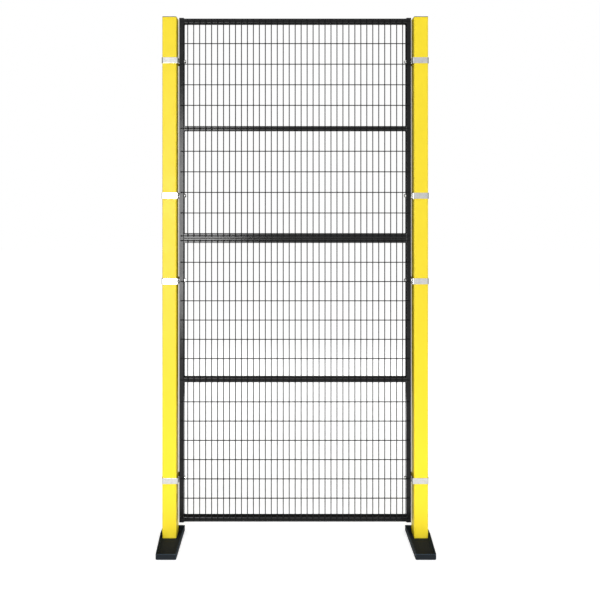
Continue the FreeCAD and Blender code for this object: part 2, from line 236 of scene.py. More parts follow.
def row_of_wires_tree(rows):
    """Parallel round wires, each bowed a little in the plane of the mesh."""
    points_per_wire = 33
    bends_per_metre = 5.0
    apart_in_noise = 90.0
    tree, given, result = new_tree("Row of wires", "GeometryNodeTree", [
        ("Geometry", "NodeSocketGeometry", None),
        ("First Wire", "NodeSocketVector", None),
        ("Rail Step", "NodeSocketVector", None),
        ("Rails", "NodeSocketInt", 3),
        ("Rows between Rails", "NodeSocketInt", 4),
        ("Half Rail", "NodeSocketFloat", 0.01),
        ("Run", "NodeSocketVector", None),
        ("Radius", "NodeSocketFloat", 0.002),
        ("Bow", "NodeSocketFloat", 0.0002),
        ("Sides", "NodeSocketInt", 12),
        ("Material", "NodeSocketMaterial", None),
    ], [("Geometry", "NodeSocketGeometry")])
    starts = node(tree, "GeometryNodeGroup", {
        "First Rail": given["First Wire"], "Rail Step": given["Rail Step"], "Rails": given["Rails"],
        "Rows between Rails": given["Rows between Rails"], "Half Rail": given["Half Rail"],
    }, node_tree=rows)
    line = node(tree, "GeometryNodeCurvePrimitiveLine", {"End": given["Run"]})
    line = node(tree, "GeometryNodeResampleCurve",
                {"Curve": line.outputs[0], "Count": points_per_wire})
    lines = copies(tree, starts.outputs[0], line.outputs[0])
    across = vector_maths(tree, "NORMALIZE", given["Rail Step"])
    place = node(tree, "GeometryNodeInputPosition").outputs[0]
    row = node(tree, "ShaderNodeVectorMath", {0: place, 1: across}, operation="DOT_PRODUCT")
    apart = maths(tree, "MULTIPLY", row.outputs["Value"], apart_in_noise)
    spread = vector_maths(tree, "SCALE", across, scale=apart)
    noise = node(tree, "ShaderNodeTexNoise", {
        "Vector": vector_maths(tree, "ADD", place, spread), "Scale": bends_per_metre,
        "Detail": 1.0})
    along = node(tree, "GeometryNodeSplineParameter").outputs["Factor"]
    back = maths(tree, "SUBTRACT", 1.0, along)
    # 0 at both ends of a wire and 1 halfway
    fixed_ends = maths(tree, "MULTIPLY", maths(tree, "MULTIPLY", along, back), 4.0)
    shift = maths(tree, "MULTIPLY", maths(tree, "SUBTRACT", noise.outputs[0], 0.5), fixed_ends)
    shift = maths(tree, "MULTIPLY", maths(tree, "MULTIPLY", shift, 2.0), given["Bow"])
    bowed = node(tree, "GeometryNodeSetPosition",
                 {"Geometry": lines, "Offset": vector_maths(tree, "SCALE", across, scale=shift)})
    section = node(tree, "GeometryNodeCurvePrimitiveCircle",
                   {"Resolution": given["Sides"], "Radius": given["Radius"]})
    solid = node(tree, "GeometryNodeCurveToMesh", {
        "Curve": bowed.outputs[0], "Profile Curve": section.outputs[0], "Fill Caps": True})
    finish_tree(tree, solid.outputs[0], given, result)
    return tree


def weld_spots_tree(rows):
    """Small squashed nuggets of weld on a grid of crossings."""
    tilt = 0.3
    tree, given, result = new_tree("Weld spots", "GeometryNodeTree", [
        ("Geometry", "NodeSocketGeometry", None),
        ("First Spot", "NodeSocketVector", None),
        ("Last Column", "NodeSocketVector", None),
        ("Columns between Ends", "NodeSocketInt", 10),
        ("Rail Step", "NodeSocketVector", None),
        ("Rails", "NodeSocketInt", 3),
        ("Rows between Rails", "NodeSocketInt", 4),
        ("Half Rail", "NodeSocketFloat", 0.01),
        ("Spot Size", "NodeSocketVector", None),
        ("Uneven", "NodeSocketFloat", 0.2),
        ("Seed", "NodeSocketInt", 4),
        ("Material", "NodeSocketMaterial", None),
    ], [("Geometry", "NodeSocketGeometry")])
    row = node(tree, "GeometryNodeGroup", {
        "First Rail": given["First Spot"], "Rail Step": given["Last Column"], "Rails": 2,
        "Rows between Rails": given["Columns between Ends"], "Half Rail": 0.0,
    }, node_tree=rows)
    column = node(tree, "GeometryNodeGroup", {
        "Rail Step": given["Rail Step"], "Rails": given["Rails"],
        "Rows between Rails": given["Rows between Rails"], "Half Rail": given["Half Rail"],
    }, node_tree=rows)
    nugget = node(tree, "GeometryNodeMeshIcoSphere", {"Radius": 1.0, "Subdivisions": 2})
    swell = random_number(tree, maths(tree, "SUBTRACT", 1.0, given["Uneven"]),
                          maths(tree, "ADD", 1.0, given["Uneven"]), given["Seed"])
    turn = node(tree, "FunctionNodeRandomValue", {
        0: (-tilt, -tilt, -tilt), 1: (tilt, tilt, tilt), "Seed": given["Seed"],
    }, data_type="FLOAT_VECTOR")
    spots = copies(tree, copies(tree, column.outputs[0], row.outputs[0]), nugget.outputs[0],
                   Rotation=turn.outputs[0],
                   Scale=vector_maths(tree, "SCALE", given["Spot Size"], scale=swell))
    finish_tree(tree, spots, given, result)
    return tree


def weld_bead_tree():
    """Rippled bead of weld along the edges of its carrier."""
    points_per_ripple = 4.0
    tree, given, result = new_tree("Weld bead", "GeometryNodeTree", [
        ("Geometry", "NodeSocketGeometry", None),
        ("Bead Radius", "NodeSocketFloat", 0.0014),
        ("Ripple Pitch", "NodeSocketFloat", 0.0018),
        ("Ripple", "NodeSocketFloat", 0.1),
        ("Uneven", "NodeSocketFloat", 0.25),
        ("Material", "NodeSocketMaterial", None),
    ], [("Geometry", "NodeSocketGeometry")])
    path = node(tree, "GeometryNodeMeshToCurve", {0: given["Geometry"]})
    step = maths(tree, "DIVIDE", given["Ripple Pitch"], points_per_ripple)
    path = node(tree, "GeometryNodeResampleCurve",
                {"Curve": path.outputs[0], "Length": step}, mode="LENGTH")
    length = node(tree, "GeometryNodeSplineParameter").outputs["Length"]
    turns = maths(tree, "DIVIDE", length, given["Ripple Pitch"])
    wave = maths(tree, "SINE", maths(tree, "MULTIPLY", turns, 2 * math.pi))
    noise = node(tree, "ShaderNodeTexNoise", {"Scale": 260.0, "Detail": 1.0})
    lumps = maths(tree, "MULTIPLY", maths(tree, "SUBTRACT", noise.outputs[0], 0.5), given["Uneven"])
    swell = maths(tree, "ADD", maths(tree, "MULTIPLY", wave, given["Ripple"]), lumps)
    swell = maths(tree, "ADD", swell, 1.0)
    section = node(tree, "GeometryNodeCurvePrimitiveCircle", {"Resolution": 8, "Radius": 1.0})
    width = maths(tree, "MULTIPLY", swell, given["Bead Radius"])
    bead = node(tree, "GeometryNodeCurveToMesh", {
        "Curve": path.outputs[0], "Profile Curve": section.outputs[0],
        "Scale": width, "Fill Caps": True})
    finish_tree(tree, bead.outputs[0], given, result)
    return tree


def at_every_clamp_tree():
    """Copies one clamp part to the four places on the left post and mirrors them to the right."""
    tree, given, result = new_tree("At every clamp", "GeometryNodeTree", [
        ("Geometry", "NodeSocketGeometry", None),
        ("Post Face", "NodeSocketVector", None),
        ("Lower Height", "NodeSocketFloat", 0.245),
        ("Lower Span", "NodeSocketFloat", 0.84),
        ("Upper Height", "NodeSocketFloat", 1.445),
        ("Upper Span", "NodeSocketFloat", 0.57),
        ("Turn", "NodeSocketFloat", 0.0),
        ("Seed", "NodeSocketInt", 2),
        ("Material", "NodeSocketMaterial", None),
    ], [("Geometry", "NodeSocketGeometry")])
    spots = node(tree, "GeometryNodeJoinGeometry")
    for height, span in (("Lower Height", "Lower Span"), ("Upper Height", "Upper Span")):
        lift = node(tree, "ShaderNodeCombineXYZ", {"Z": given[height]}).outputs[0]
        step = node(tree, "ShaderNodeCombineXYZ", {"Z": given[span]}).outputs[0]
        start = vector_maths(tree, "ADD", given["Post Face"], lift)
        tree.links.new(points_in_line(tree, 2, start, step), spots.inputs[0])
    halves = node(tree, "GeometryNodeJoinGeometry")
    for number, side in enumerate(SIDES):
        seed = maths(tree, "ADD", given["Seed"], float(number))
        angle = random_number(tree, 0.0, given["Turn"], seed)
        about_bolt = node(tree, "ShaderNodeCombineXYZ", {"X": angle}).outputs[0]
        half = copies(tree, spots.outputs[0], given["Geometry"], Rotation=about_bolt)
        if side == "right":
            half = node(tree, "GeometryNodeTransform",
                        {"Geometry": half, "Scale": (-1.0, 1.0, 1.0)}).outputs[0]
            half = node(tree, "GeometryNodeFlipFaces", {"Mesh": half}).outputs[0]
        tree.links.new(half, halves.inputs[0])
    finish_tree(tree, halves.outputs[0], given, result)
    return tree


# How the mesh is laid out, as values for the geometry trees
def upright_layout(panel, mesh):
    """A panel's uprights: one even row from the first to the last."""
    first, last, run, radius = wire_row(f"{panel}_upright_wires", 0, 2)
    spaces = round((last[0] - first[0]) / mesh.upright_pitch)
    return {"First Wire": first, "Rail Step": last - first, "Rails": 2,
            "Rows between Rails": spaces - 1, "Half Rail": 0.0, "Run": run, "Radius": radius}


def cross_layout(panel, mesh):
    """A panel's crosswires: one on each rail, and even rows in the openings between them."""
    first, last, run, radius = wire_row(f"{panel}_cross_wires", 2, 0)
    step = (last - first) / (len(RAILS) - 1)
    half = size(f"{panel}_mid_rail")[2] / 2
    spaces = max(1, round((step[2] - 2 * half) / mesh.cross_pitch))
    return {"First Wire": first, "Rail Step": step, "Rails": len(RAILS),
            "Rows between Rails": spaces - 1, "Half Rail": half, "Run": run, "Radius": radius}


# Clamp parts for the left post, from its inner face, its middle and the bolt's height
FASTENER_SIDES = 36
WASHER_SIDES = 40
CORNER_SLOPE = math.tan(math.radians(30))


def skin(name, rings, closed):
    """Mesh through rings of equally many points, capped at its ends or closed on itself."""
    count = len(rings[0])
    points = [point for ring in rings for point in ring]
    faces = []
    spans = len(rings) if closed else len(rings) - 1
    for i in range(spans):
        here = i * count
        after = (i + 1) % len(rings) * count
        for k in range(count):
            right = (k + 1) % count
            faces.append((here + k, here + right, after + right, after + k))
    if not closed:
        faces.append(tuple(reversed(range(count))))
        faces.append(tuple(range(spans * count, len(points))))
    mesh = bpy.data.meshes.new(name)
    mesh.from_pydata(points, [], faces)
    mesh.validate()
    return mesh


def round_ring(x, radius, around):
    """Ring of points about the bolt's axis."""
    ring = []
    for k in range(around):
        angle = 2 * math.pi * k / around
        ring.append((x, radius * math.cos(angle), radius * math.sin(angle)))
    return ring


def turned(outline, around):
    """Round rings through a turned outline, whose points each have a place and a radius."""
    return [round_ring(x, radius, around) for x, radius in outline]


def hex_ring(x, half_flats, around, turned_to=None, lean=0.0):
    """Hexagonal ring, its corners cut back along a cone that starts at radius turned_to."""
    ring = []
    for k in range(around):
        angle = 2 * math.pi * k / around
        radius = half_flats / math.cos(angle % (math.pi / 3) - math.pi / 6)
        cut = lean * max(0.0, radius - turned_to) if turned_to else 0.0
        ring.append((x - cut, radius * math.cos(angle), radius * math.sin(angle)))
    return ring


def off_post(node):
    """Where a row of clamp parts begins, from the inner face of the left post."""
    return corners(node)[0][0] - POST_FACE_X


def bolt_mesh(clamps):
    """Hex bolt with a threaded shank, its tip towards the post."""
    radius = clamps.bolt / 2
    half = clamps.across_flats / 2
    tip_face, tip_edge = radius * 0.72, radius * 0.9
    thread_root, shank = radius * 0.87, radius * 0.97
    bearing_face, top_face = half * 0.94, half * 0.95
    dish_edge, dish_floor = half * 0.8, half * 0.7
    tip_chamfer, thread_start, plain_shank = 0.0008, 0.001, 0.006
    bearing_step, dish = 0.0003, 0.0003
    tip = off_post("clamp_bolts")
    head_top = tip + clamps.bolt_length
    under_head = head_top - clamps.head_height
    outline = [(tip, tip_face), (tip + tip_chamfer, tip_edge)]
    x = tip + thread_start
    while x < under_head - plain_shank:
        outline += [(x, thread_root), (x + clamps.thread_pitch / 2, radius)]
        x += clamps.thread_pitch
    outline += [(x, shank), (under_head, shank), (under_head, bearing_face),
                (under_head + bearing_step, bearing_face)]
    rings = turned(outline, FASTENER_SIDES)
    rings.append(hex_ring(under_head + bearing_step, half, FASTENER_SIDES))
    rings.append(hex_ring(head_top, half, FASTENER_SIDES, top_face, CORNER_SLOPE))
    rings += turned([(head_top, top_face), (head_top, dish_edge), (head_top - dish, dish_floor)],
                    FASTENER_SIDES)
    return skin("bolt", rings, False)


def nut_mesh(clamps):
    """Thin hex nut with both faces turned and its bore chamfered."""
    half = clamps.across_flats / 2
    turned_face = half * 0.94
    play, chamfer = 0.0001, 0.0005
    bore = clamps.bolt / 2 + play
    start = off_post("clamp_nuts")
    end = start + clamps.nut_height
    rings = turned([(start, bore + chamfer), (start, turned_face)], FASTENER_SIDES)
    rings.append(hex_ring(start, half, FASTENER_SIDES, turned_face, -CORNER_SLOPE))
    rings.append(hex_ring(end, half, FASTENER_SIDES, turned_face, CORNER_SLOPE))
    rings += turned([(end, turned_face), (end, bore + chamfer), (end - chamfer, bore),
                     (start + chamfer, bore)], FASTENER_SIDES)
    return skin("nut", rings, True)


def washer_mesh(clamps):
    """Stamped washer, its edges slightly rolled."""
    start = off_post("clamp_washers")
    end = start + clamps.washer_sheet
    inner = clamps.washer_hole / 2
    outer = clamps.washer_outside / 2
    roll = 0.00025
    outline = [
        (start, inner + roll), (start, outer - roll), (start + roll, outer), (end - roll, outer),
        (end, outer - roll), (end, inner + roll), (end - roll, inner), (start + roll, inner),
    ]
    return skin("washer", turned(outline, WASHER_SIDES), True)


def bend_path(points, radii, steps):
    """Points along a path through right-angled corners, each bend a true arc."""
    path = []
    for i, corner in enumerate(points):
        if radii[i] == 0:
            path.append(corner)
            continue
        before = (points[i - 1] - corner).normalized()
        after = (points[i + 1] - corner).normalized()
        middle = corner + (before + after) * radii[i]
        for k in range(steps + 1):
            angle = math.pi / 2 * k / steps
            path.append(middle - after * (radii[i] * math.cos(angle))
                        - before * (radii[i] * math.sin(angle)))
    return path


def add_stations(path, near_end, step):
    """Adds evenly spaced points along the first and last runs, where the tips are rounded."""
    start, second = path[0], path[1]
    end, before_end = path[-1], path[-2]
    count = int(near_end / step)
    first = [start + (second - start).normalized() * step * k for k in range(1, count + 1)]
    last = [end + (before_end - end).normalized() * step * k for k in range(count, 0, -1)]
    return [start] + first + path[1:-1] + last + [end]


def strap_mesh(clamps):
    """Flat strap round the post, its two ends lapped in the gap and their tips rounded."""
    steps_per_bend, steps_per_tip = 7, 6
    low, high = corners("lower_left_bottom_strap")
    half_width = size("lower_left_bottom_strap")[2] / 2
    sheet = clamps.strap_sheet
    thick = sheet / 2
    edge = sheet * 0.22
    lap_outer = high[0] - POST_FACE_X - thick
    lap_inner = lap_outer - sheet - clamps.lap_gap
    far = low[0] - POST_FACE_X + thick
    hug = (high[1] - low[1]) / 2 - thick
    lap_bend, post_bend = clamps.lap_bend + thick, clamps.post_bend + thick
    points = [Vector((lap_inner, clamps.lap)), Vector((lap_inner, -hug)), Vector((far, -hug)),
              Vector((far, hug)), Vector((lap_outer, hug)), Vector((lap_outer, -clamps.lap))]
    path = bend_path(points, [0, lap_bend, post_bend, post_bend, lap_bend, 0], steps_per_bend)
    path = add_stations(path, clamps.tip_round, clamps.tip_round / steps_per_tip)
    walked = [0.0]
    for i in range(1, len(path)):
        walked.append(walked[-1] + (path[i] - path[i - 1]).length)
    rings = []
    for i, place in enumerate(path):
        ahead = path[min(i + 1, len(path) - 1)] - path[max(i - 1, 0)]
        side = Vector((ahead[1], -ahead[0])).normalized()
        inset = max(0.0, clamps.tip_round - min(walked[i], walked[-1] - walked[i]))
        narrow = clamps.tip_round - math.sqrt(max(0.0, clamps.tip_round ** 2 - inset ** 2))
        half = half_width - narrow
        section = ((-thick, half - edge), (-thick, edge - half), (edge - thick, -half),
                   (thick - edge, -half), (thick, edge - half), (thick, half - edge),
                   (thick - edge, half), (edge - thick, half))
        rings.append([(place[0] + side[0] * off, place[1] + side[1] * off, up)
                      for off, up in section])
    return skin("strap", rings, False)


# Effects that several materials share
def grain_group():
    """Fine surface grain of a coat or moulding, with broad patches."""
    finer = 3.7
    tree, given, result = new_tree("Surface grain", "ShaderNodeTree", [
        ("Grains per Metre", "NodeSocketFloat", 900.0),
        ("Patches per Metre", "NodeSocketFloat", 9.0),
        ("Fineness", "NodeSocketFloat", 0.3),
    ], [("Height", "NodeSocketFloat"), ("Patches", "NodeSocketFloat")])
    place = node(tree, "ShaderNodeTexCoord").outputs["Object"]
    coarse = node(tree, "ShaderNodeTexNoise", {
        "Vector": place, "Scale": given["Grains per Metre"], "Detail": 1.0}).outputs[0]
    fine_scale = maths(tree, "MULTIPLY", given["Grains per Metre"], finer)
    fine = node(tree, "ShaderNodeTexNoise", {
        "Vector": place, "Scale": fine_scale, "Detail": 1.0}).outputs[0]
    both = maths(tree, "ADD", maths(tree, "MULTIPLY", fine, given["Fineness"]), coarse)
    tree.links.new(both, result["Height"])
    patches = node(tree, "ShaderNodeTexNoise", {
        "Vector": place, "Scale": given["Patches per Metre"], "Detail": 4.0, "Roughness": 0.6})
    tree.links.new(patches.outputs[0], result["Patches"])
    return tree


def edges_group():
    """Softened edges: a rounded normal, and a mask of how near an edge a point lies."""
    tree, given, result = new_tree("Soft edges", "ShaderNodeTree", [
        ("Radius", "NodeSocketFloat", 0.0006),
        ("Sharpness", "NodeSocketFloat", 5.0),
    ], [("Normal", "NodeSocketVector"), ("Edge", "NodeSocketFloat")])
    bevel = node(tree, "ShaderNodeBevel", {"Radius": given["Radius"]}, samples=6)
    flat = node(tree, "ShaderNodeNewGeometry").outputs["Normal"]
    facing = node(tree, "ShaderNodeVectorMath", {0: bevel.outputs[0], 1: flat},
                  operation="DOT_PRODUCT").outputs["Value"]
    bent = maths(tree, "SUBTRACT", 1.0, facing)
    edge = maths(tree, "MULTIPLY", bent, given["Sharpness"], clamp=True)
    tree.links.new(bevel.outputs[0], result["Normal"])
    tree.links.new(edge, result["Edge"])
    return tree


def mask(tree, empty_at, full_at, noise):
    """Noise made a mask, by the value where it is empty and the one where it is full."""
    made = node(tree, "ShaderNodeTexNoise", noise)
    cut = node(tree, "ShaderNodeMapRange",
               {"Value": made.outputs[0], "From Min": empty_at, "From Max": full_at})
    return cut.outputs[0]


def handling_group():
    """Smudges from handling, scuffs, and dust that lies on level faces and near the floor."""
    nearly_level = 0.8
    dust_on_level, dust_near_floor = 0.8, 0.5
    tree, given, result = new_tree("Handling and dust", "ShaderNodeTree", [
        ("Smudges per Metre", "NodeSocketFloat", 14.0),
        ("Floor Reach", "NodeSocketFloat", 0.25),
    ], [("Smudge", "NodeSocketFloat"), ("Scuff", "NodeSocketFloat"), ("Dust", "NodeSocketFloat")])
    place = node(tree, "ShaderNodeTexCoord").outputs["Object"]
    smudge = mask(tree, 0.45, 0.75, {
        "Vector": place, "Scale": given["Smudges per Metre"], "Detail": 5.0, "Roughness": 0.62})
    tree.links.new(smudge, result["Smudge"])
    stretched = node(tree, "ShaderNodeMapping", {"Vector": place, "Scale": (60.0, 60.0, 700.0)})
    scuff = mask(tree, 0.67, 0.72, {
        "Vector": stretched.outputs[0], "Scale": 1.0, "Detail": 2.0, "Distortion": 0.4})
    tree.links.new(scuff, result["Scuff"])
    height = node(tree, "ShaderNodeSeparateXYZ", {"Vector": place}).outputs["Z"]
    raised = maths(tree, "DIVIDE", height, given["Floor Reach"])
    low = maths(tree, "SUBTRACT", 1.0, raised, clamp=True)
    normal = node(tree, "ShaderNodeNewGeometry").outputs["Normal"]
    faces_up = node(tree, "ShaderNodeSeparateXYZ", {"Vector": normal}).outputs["Z"]
    level = maths(tree, "GREATER_THAN", faces_up, nearly_level)
    speckle = mask(tree, 0.4, 0.7, {
        "Vector": place, "Scale": 230.0, "Detail": 6.0, "Roughness": 0.7})
    lying = maths(tree, "ADD", maths(tree, "MULTIPLY", level, dust_on_level),
                  maths(tree, "MULTIPLY", low, dust_near_floor))
    tree.links.new(maths(tree, "MULTIPLY", lying, speckle), result["Dust"])
    return tree


# Materials
def blend(tree, amount, first, second):
    """Mixes two colours by an amount that changes over the surface."""
    # The node's colours are its inputs 6 and 7 and its output 2
    mix = node(tree, "ShaderNodeMix", {0: amount, 6: first, 7: second}, data_type="RGBA")
    return mix.outputs[2]


def shade(colour, factor):
    """A colour made darker or paler by a factor."""
    return tuple(min(1.0, c * factor) for c in colour[:3]) + (1.0,)


def new_material(name):
    """Empty material and its Principled shader."""
    material = bpy.data.materials.new(name)
    material.use_nodes = True
    shader = next(n for n in material.node_tree.nodes if n.type == "BSDF_PRINCIPLED")
    return material, shader


def paint_matt(mesh, name, tone, roughness):
    """Gives a mesh of the stage one grey tone without any sheen, and hands back its shader."""
    material, shader = new_material(name)
    shader.inputs["Base Color"].default_value = (tone, tone, tone, 1.0)
    shader.inputs["Roughness"].default_value = roughness
    shader.inputs["Specular IOR Level"].default_value = 0.0
    mesh.materials.append(material)
    return shader


def seen_or_mirrored(tree):
    """1 for what the camera sees, directly, mirrored or through glass, and 0 for other light."""
    path = node(tree, "ShaderNodeLightPath")
    indirect = maths(tree, "MAXIMUM", path.outputs["Is Glossy Ray"],
                     path.outputs["Is Transmission Ray"])
    return maths(tree, "MAXIMUM", path.outputs["Is Camera Ray"], indirect)


def coat_material(name, groups, colour, gloss, sheen, grains, bump, edge_radius, edge_wear_and_highlight, dusty):
    """Powder coat or moulded plastic: grain, soft edges, smudges, scuffs and dust. Edges are worn
    darker, and with a factor above 1 they are painted paler as a highlight.
    """
    dark_patch, pale_patch = 0.965, 1.035
    wear_and_highlight_share = 0.6
    dust_colour = (0.36, 0.34, 0.31, 1.0)
    dull_smudge, dull_scuff, dull_dust = 0.10, 0.12, 0.35
    material, shader = new_material(name)
    tree = material.node_tree
    shader.inputs["Specular IOR Level"].default_value = sheen
    grain = node(tree, "ShaderNodeGroup", {"Grains per Metre": grains}, node_tree=groups["grain"])
    edges = node(tree, "ShaderNodeGroup", {"Radius": edge_radius}, node_tree=groups["edges"])
    marks = node(tree, "ShaderNodeGroup", node_tree=groups["handling"])
    tone = blend(tree, grain.outputs["Patches"], shade(colour, dark_patch),
                 shade(colour, pale_patch))
    on_edge = maths(tree, "MULTIPLY", edges.outputs["Edge"], wear_and_highlight_share)
    # At edges the colour is scaled by a factor: below 1 the coat is worn darker; above 1, as on the
    # feet, a highlight is painted on.
    tone = blend(tree, on_edge, tone, shade(colour, edge_wear_and_highlight))
    dust = maths(tree, "MULTIPLY", marks.outputs["Dust"], dusty, clamp=True)
    tone = blend(tree, dust, tone, dust_colour)
    tree.links.new(tone, shader.inputs["Base Color"])
    rough = maths(tree, "ADD", maths(tree, "MULTIPLY", marks.outputs["Smudge"], dull_smudge), gloss)
    rough = maths(tree, "ADD", rough, maths(tree, "MULTIPLY", marks.outputs["Scuff"], dull_scuff))
    rough = maths(tree, "ADD", rough, maths(tree, "MULTIPLY", dust, dull_dust), clamp=True)
    tree.links.new(rough, shader.inputs["Roughness"])
    relief = node(tree, "ShaderNodeBump", {
        "Height": grain.outputs["Height"], "Normal": edges.outputs["Normal"],
        "Strength": 1.0, "Distance": bump})
    tree.links.new(relief.outputs[0], shader.inputs["Normal"])
    return material


def metal_material(name, groups, colour, gloss, streaks, edge_radius):
    """Plated or milled steel: mottled tone and gloss, with fine rolling streaks."""
    dark_patch, pale_patch = 0.8, 1.14
    smudged, smudge_tone = 0.3, 0.78
    edge_shine, edge_tone = 0.5, 1.15
    dull_streak, dull_smudge = 0.14, 0.1
    grain_relief, relief_depth = 0.4, 0.00002
    material, shader = new_material(name)
    tree = material.node_tree
    shader.inputs["Metallic"].default_value = 1.0
    grain = node(tree, "ShaderNodeGroup", {"Grains per Metre": 420.0, "Patches per Metre": 70.0},
                 node_tree=groups["grain"])
    edges = node(tree, "ShaderNodeGroup", {"Radius": edge_radius}, node_tree=groups["edges"])
    marks = node(tree, "ShaderNodeGroup", {"Smudges per Metre": 60.0},
                 node_tree=groups["handling"])
    place = node(tree, "ShaderNodeTexCoord").outputs["Object"]
    rolled = node(tree, "ShaderNodeMapping", {"Vector": place, "Scale": streaks})
    lines = node(tree, "ShaderNodeTexNoise", {
        "Vector": rolled.outputs[0], "Scale": 1.0, "Detail": 3.0}).outputs[0]
    tone = blend(tree, grain.outputs["Patches"], shade(colour, dark_patch),
                 shade(colour, pale_patch))
    on_smudge = maths(tree, "MULTIPLY", marks.outputs["Smudge"], smudged)
    tone = blend(tree, on_smudge, tone, shade(colour, smudge_tone))
    on_edge = maths(tree, "MULTIPLY", edges.outputs["Edge"], edge_shine)
    tone = blend(tree, on_edge, tone, shade(colour, edge_tone))
    tree.links.new(tone, shader.inputs["Base Color"])
    # The streaks stray to both sides of the gloss, and smudges only dull it
    streaky = maths(tree, "ADD", maths(tree, "MULTIPLY", lines, dull_streak),
                    gloss - dull_streak / 2)
    dull = maths(tree, "MULTIPLY", marks.outputs["Smudge"], dull_smudge)
    tree.links.new(maths(tree, "ADD", streaky, dull, clamp=True), shader.inputs["Roughness"])
    fine = maths(tree, "MULTIPLY", grain.outputs["Height"], grain_relief)
    relief = node(tree, "ShaderNodeBump", {
        "Height": maths(tree, "ADD", lines, fine), "Normal": edges.outputs["Normal"],
        "Strength": 1.0, "Distance": relief_depth})
    tree.links.new(relief.outputs[0], shader.inputs["Normal"])
    return material


# Finishes made so far, by name
FINISHES = {}


def all_finishes(paints):
    """Every finish of the fence, with its gloss, grain, depth of relief, edge wear, and on the feet
    a painted edge highlight.
    """
    groups = {"grain": grain_group(), "edges": edges_group(), "handling": handling_group()}
    return {
        "post_paint": coat_material(
            "yellow_powder_coat", groups, paints.post_colour, paints.post_gloss, sheen=0.175,
            grains=420.0, bump=0.00006, edge_radius=0.0010, edge_wear_and_highlight=0.92, dusty=0.06),
        "frame_paint": coat_material(
            "black_frame_coat", groups, paints.frame_colour, paints.frame_gloss, sheen=0.20,
            grains=650.0, bump=0.00004, edge_radius=0.0008, edge_wear_and_highlight=0.9, dusty=0.05),
        "rail_paint": coat_material(
            "black_rail_coat", groups, paints.frame_colour, paints.rail_gloss, sheen=0.30,
            grains=650.0, bump=0.00004, edge_radius=0.0008, edge_wear_and_highlight=0.9, dusty=0.05),
        "wire_coat": coat_material(
            "black_wire_coat", groups, paints.frame_colour, paints.wire_gloss, sheen=0.12,
            grains=900.0, bump=0.00003, edge_radius=0.0003, edge_wear_and_highlight=0.9, dusty=0.04),
        # The feet's edges are painted 24 times paler: a painted highlight on their rims.
        "foot_paint": coat_material(
            "black_foot_coat", groups, paints.foot_colour, paints.foot_gloss, sheen=0.12,
            grains=520.0, bump=0.00006, edge_radius=0.0020, edge_wear_and_highlight=24.0, dusty=0.06),
        "black_plastic": coat_material(
            "moulded_black_plastic", groups, paints.plastic_colour, paints.plastic_gloss,
            sheen=0.35, grains=1500.0, bump=0.00005, edge_radius=0.0010, edge_wear_and_highlight=0.9, dusty=0.08),
        "strap_zinc": metal_material(
            "bright_zinc_strap", groups, paints.zinc_colour, paints.zinc_gloss,
            streaks=(30.0, 30.0, 2600.0), edge_radius=0.0006),
        "fastener_zinc": metal_material(
            "bright_zinc_fastener", groups, paints.zinc_colour, paints.zinc_gloss,
            streaks=(500.0, 900.0, 900.0), edge_radius=0.0003),
        "bare_steel": metal_material(
            "milled_steel", groups, paints.steel_colour, paints.steel_gloss,
            streaks=(2200.0, 60.0, 60.0), edge_radius=0.0005),
    }


def finish(name):
    """Material of one finish. All are made together, the first time one is asked for."""
    if not FINISHES:
        FINISHES.update(all_finishes(bpy.context.scene.fence_finishes))
    return FINISHES[name]


def coat_node(name, coat):
    """Gives a CAD node its finish."""
    slots = NODES[name].material_slots
    if not slots:
        raise RuntimeError(f"{name} has no material slot")
    for slot in slots:
        slot.material = finish(coat)


# Sizes and colours that a user would change
class FenceFinishes(bpy.types.PropertyGroup):
    """Colours of the coats, plastic and metals, and how rough they are"""
    post_colour: bpy.props.FloatVectorProperty(
        name="Post colour", description="Yellow powder coat of the posts", size=4,
        subtype="COLOR", min=0.0, max=1.0, default=(0.96, 0.75, 0.032, 1.0))
    post_gloss: bpy.props.FloatProperty(
        name="Post roughness", description="Lower is glossier", default=0.42, min=0.0, max=1.0)
    frame_colour: bpy.props.FloatVectorProperty(
        name="Frame colour", description="Black powder coat of frames and wires", size=4,
        subtype="COLOR", min=0.0, max=1.0, default=(0.0050, 0.0052, 0.0056, 1.0))
    frame_gloss: bpy.props.FloatProperty(
        name="Frame roughness", description="Lower is glossier", default=0.20, min=0.0, max=1.0)
    rail_gloss: bpy.props.FloatProperty(
        name="Rail roughness", description="Lower is glossier", default=0.18, min=0.0, max=1.0)
    wire_gloss: bpy.props.FloatProperty(
        name="Wire roughness", description="Lower is glossier", default=0.62, min=0.0, max=1.0)
    foot_colour: bpy.props.FloatVectorProperty(
        name="Foot colour", description="Black coat of the tray feet", size=4,
        subtype="COLOR", min=0.0, max=1.0, default=(0.0060, 0.0095, 0.0135, 1.0))
    foot_gloss: bpy.props.FloatProperty(
        name="Foot roughness", description="Lower is glossier", default=0.70, min=0.0, max=1.0)
    plastic_colour: bpy.props.FloatVectorProperty(
        name="Plastic colour", description="Caps on the posts and plugs in the frames", size=4,
        subtype="COLOR", min=0.0, max=1.0, default=(0.013, 0.013, 0.014, 1.0))
    plastic_gloss: bpy.props.FloatProperty(
        name="Plastic roughness", description="Lower is glossier", default=0.45, min=0.0, max=1.0)
    zinc_colour: bpy.props.FloatVectorProperty(
        name="Zinc colour", description="Bright zinc plating of straps and fasteners", size=4,
        subtype="COLOR", min=0.0, max=1.0, default=(0.57, 0.57, 0.555, 1.0))
    zinc_gloss: bpy.props.FloatProperty(
        name="Zinc roughness", description="Lower is glossier", default=0.20, min=0.1, max=1.0)
    steel_colour: bpy.props.FloatVectorProperty(
        name="Steel colour", description="Milled plates inside the posts", size=4,
        subtype="COLOR", min=0.0, max=1.0, default=(0.42, 0.42, 0.43, 1.0))
    steel_gloss: bpy.props.FloatProperty(
        name="Steel roughness", description="Lower is glossier", default=0.42, min=0.1, max=1.0)


